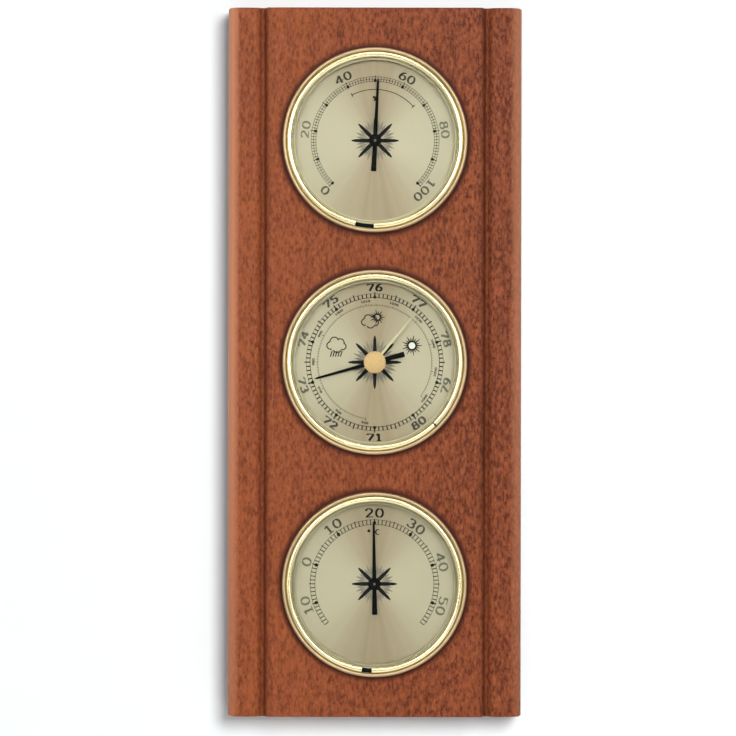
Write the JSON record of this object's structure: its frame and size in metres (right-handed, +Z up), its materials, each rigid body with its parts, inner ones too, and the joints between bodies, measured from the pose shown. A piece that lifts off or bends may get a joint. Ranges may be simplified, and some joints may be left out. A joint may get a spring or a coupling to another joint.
{
  "type": "wall weather station",
  "caption": "Wall weather station: grooved wooden board with brass-rimmed hygrometer, aneroid barometer with set hand, and thermometer, hung by a keyhole plate.",
  "frame": {"origin": "centre of the round end of the hanger's keyhole, on the back plane of the board", "axes": "+Z up along the board, +Y out of the back towards the wall, the dials face -Y, +X to the right seen from the front"},
  "size_m": [0.1354, 0.0279, 0.3268],
  "materials": {
    "wood": "red-brown mahogany stain, satin varnish",
    "hanger_steel": "zinc-plated steel",
    "case_steel": "drawn sheet, lightly passivated",
    "bezel_brass": "polished brass",
    "ring_brass": "polished brass",
    "gasket_black": "matt black",
    "glass": "clear flat glass",
    "spacer_gold": "satin olive gold",
    "dial_champagne": "circular-brushed champagne anodising",
    "hand_black": "black lacquer",
    "knob_brass": "polished, knurled edge",
    "set_hand_brass": "polished",
    "coil_strip": "laminated spiral strip",
    "movement_steel": "turned steel",
    "capsule_metal": "nickel-silver sheet",
    "movement_brass": "satin brass"
  },
  "bodies": {
    "station": {"aneroid_capsule": "capsule_metal", "barometer_base_plate": "movement_brass", "barometer_base_screws": "movement_steel", "barometer_bezel": "bezel_brass", "barometer_case": "case_steel", "barometer_dial": "dial_champagne", "barometer_gasket": "gasket_black", "barometer_glass": "glass", "barometer_glass_ring": "ring_brass", "barometer_spacer": "spacer_gold", "board": "wood", "front_plate": "movement_brass", "hairspring": "movement_steel", "hairspring_stud": "movement_brass", "hanger_plate": "hanger_steel", "hanger_screws": "hanger_steel", "hygrometer_base_plate": "movement_brass", "hygrometer_base_screws": "movement_steel", "hygrometer_bezel": "bezel_brass", "hygrometer_bush": "movement_brass", "hygrometer_case": "case_steel", "hygrometer_coil": "coil_strip", "hygrometer_coil_post": "movement_brass", "hygrometer_dial": "dial_champagne", "hygrometer_gasket": "gasket_black", "hygrometer_glass": "glass", "hygrometer_glass_ring": "ring_brass", "hygrometer_spacer": "spacer_gold", "lever_bracket": "movement_brass", "movement_pillars": "movement_brass", "plate_screws": "movement_steel", "rear_plate": "movement_brass", "rocker_bracket": "movement_brass", "thermometer_base_plate": "movement_brass", "thermometer_base_screws": "movement_steel", "thermometer_bezel": "bezel_brass", "thermometer_bush": "movement_brass", "thermometer_case": "case_steel", "thermometer_coil": "coil_strip", "thermometer_coil_post": "movement_brass", "thermometer_dial": "dial_champagne", "thermometer_gasket": "gasket_black", "thermometer_glass": "glass", "thermometer_glass_ring": "ring_brass", "thermometer_spacer": "spacer_gold"},
    "hygrometer_hand": {"hygrometer_pointer": "hand_black", "hygrometer_arbor": "movement_steel"},
    "thermometer_hand": {"thermometer_pointer": "hand_black", "thermometer_arbor": "movement_steel"},
    "barometer_hand": {"barometer_pointer": "hand_black", "pinion_arbor": "movement_steel"},
    "sector": {"toothed_sector": "movement_brass", "sector_arbor": "movement_steel"},
    "rocker": {"rocking_shaft": "movement_steel"},
    "lever": {"capsule_lever": "movement_brass", "lever_axle": "movement_steel"},
    "set_hand": {"set_knob": "knob_brass", "set_hand": "set_hand_brass"},
    "adjuster": {"adjusting_screw": "movement_steel"}
  },
  "joints": [
    {"name": "hygrometer_turn", "type": "hinge", "parent": "station", "child": "hygrometer_hand", "pos_m": [0, -0.02, -0.0501], "axis": [0, 1, 0], "range_deg": [-137.7, 132.3], "stiffness_Nm_per_rad": 0.001, "deforming": ["hygrometer_coil"]},
    {"name": "thermometer_turn", "type": "hinge", "parent": "station", "child": "thermometer_hand", "pos_m": [0, -0.02, -0.2545], "axis": [0, 1, 0], "range_deg": [-128.9, 130.3], "stiffness_Nm_per_rad": 0.001, "deforming": ["thermometer_coil"]},
    {"name": "barometer_turn", "type": "hinge", "parent": "station", "child": "barometer_hand", "pos_m": [0, -0.02, -0.1523], "axis": [0, 1, 0], "range_deg": [-74.5, 249.5], "stiffness_Nm_per_rad": 0.001, "deforming": ["hairspring"]},
    {"name": "sector_swing", "type": "hinge", "parent": "station", "child": "sector", "pos_m": [0, -0.02, -0.1798], "axis": [0, 1, 0], "range_deg": [-25, 7.5]},
    {"name": "rocker_swing", "type": "hinge", "parent": "station", "child": "rocker", "pos_m": [0, -0.0074, -0.1798], "axis": [-1, 0, 0], "range_deg": [-7.1, 23.6]},
    {"name": "lever_swing", "type": "hinge", "parent": "station", "child": "lever", "pos_m": [0, -0.00945, -0.1333], "axis": [1, 0, 0], "range_deg": [-0.51, 1.68], "deforming": ["aneroid_capsule"]},
    {"name": "set_hand_turn", "type": "hinge", "parent": "station", "child": "set_hand", "pos_m": [0, -0.02, -0.1523], "axis": [0, 1, 0], "continuous": true},
    {"name": "adjuster_turn", "type": "hinge", "parent": "station", "child": "adjuster", "pos_m": [0, -0.02, -0.1523], "axis": [0, 1, 0], "range_deg": [-180, 180]}
  ],
  "couplings": [
    {"joint": "sector_swing", "follows": "barometer_turn", "ratio": -0.1},
    {"joint": "rocker_swing", "follows": "barometer_turn", "ratio": 0.094444},
    {"joint": "lever_swing", "follows": "barometer_turn", "ratio": 0.006672}
  ]
}
